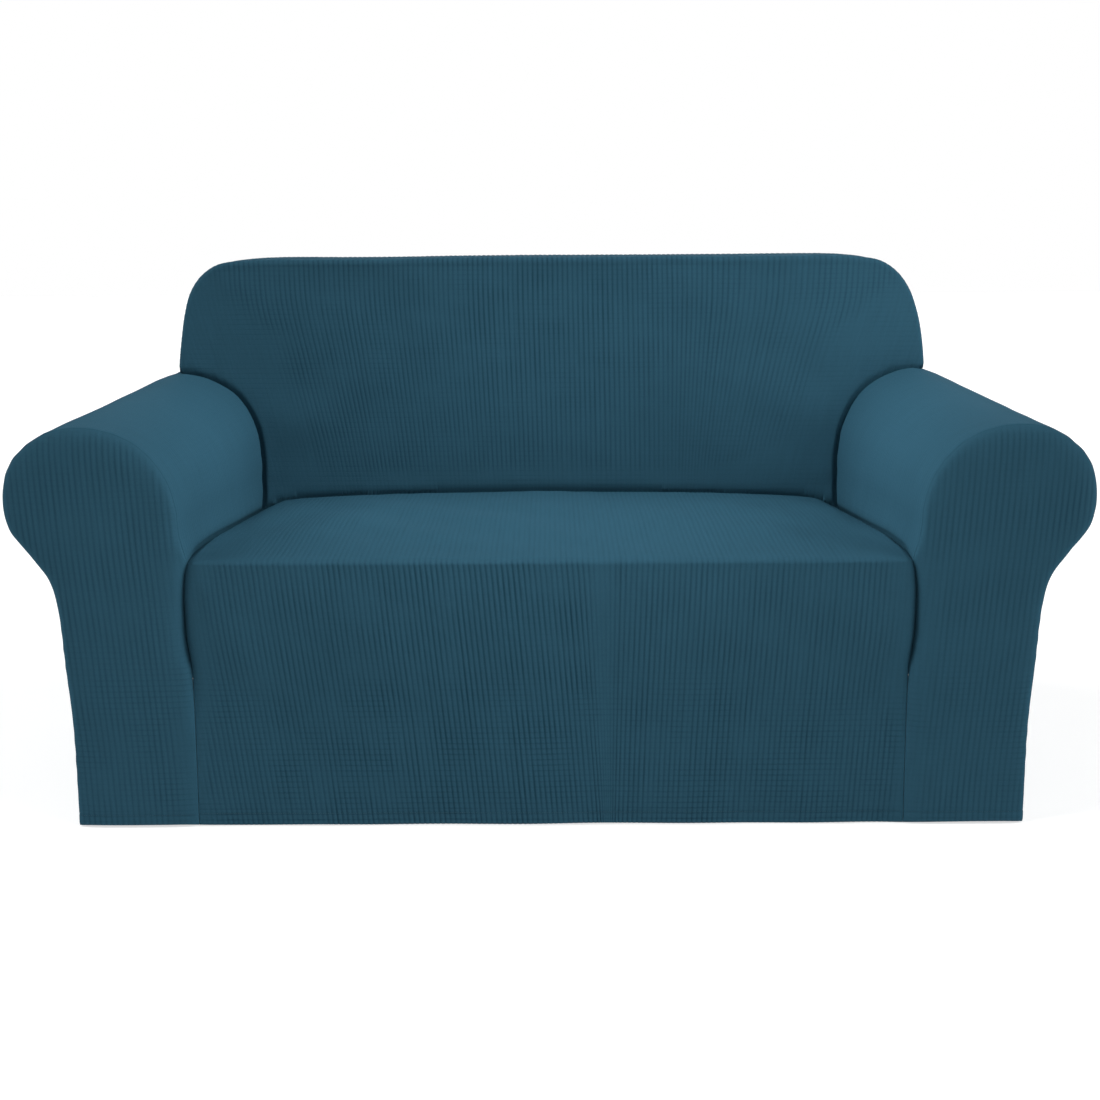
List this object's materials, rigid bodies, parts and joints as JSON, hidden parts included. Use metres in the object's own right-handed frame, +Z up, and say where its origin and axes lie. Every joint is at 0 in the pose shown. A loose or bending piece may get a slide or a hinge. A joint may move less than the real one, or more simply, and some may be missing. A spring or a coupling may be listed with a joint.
{
  "type": "sofa slipcover",
  "caption": "Fitted stretch slipcover for a loveseat with rolled arms: a hollow sewn shell of ribbed check knit with a straight hem.",
  "frame": {"origin": "middle of the cover's footprint, in the plane of its hem", "axes": "+Z up, the front faces -Y, +X runs along the width to the viewer's right"},
  "size_m": [1.6004, 0.868, 0.8333],
  "materials": {
    "knit": "matt ribbed check knit, peacock blue"
  },
  "bodies": {
    "root": {"seat_skirt": "knit", "inside_back": "knit", "outside_back": "knit", "arm_left": "knit", "arm_right": "knit", "arm_front_left": "knit", "arm_front_right": "knit"}
  },
  "joints": []
}
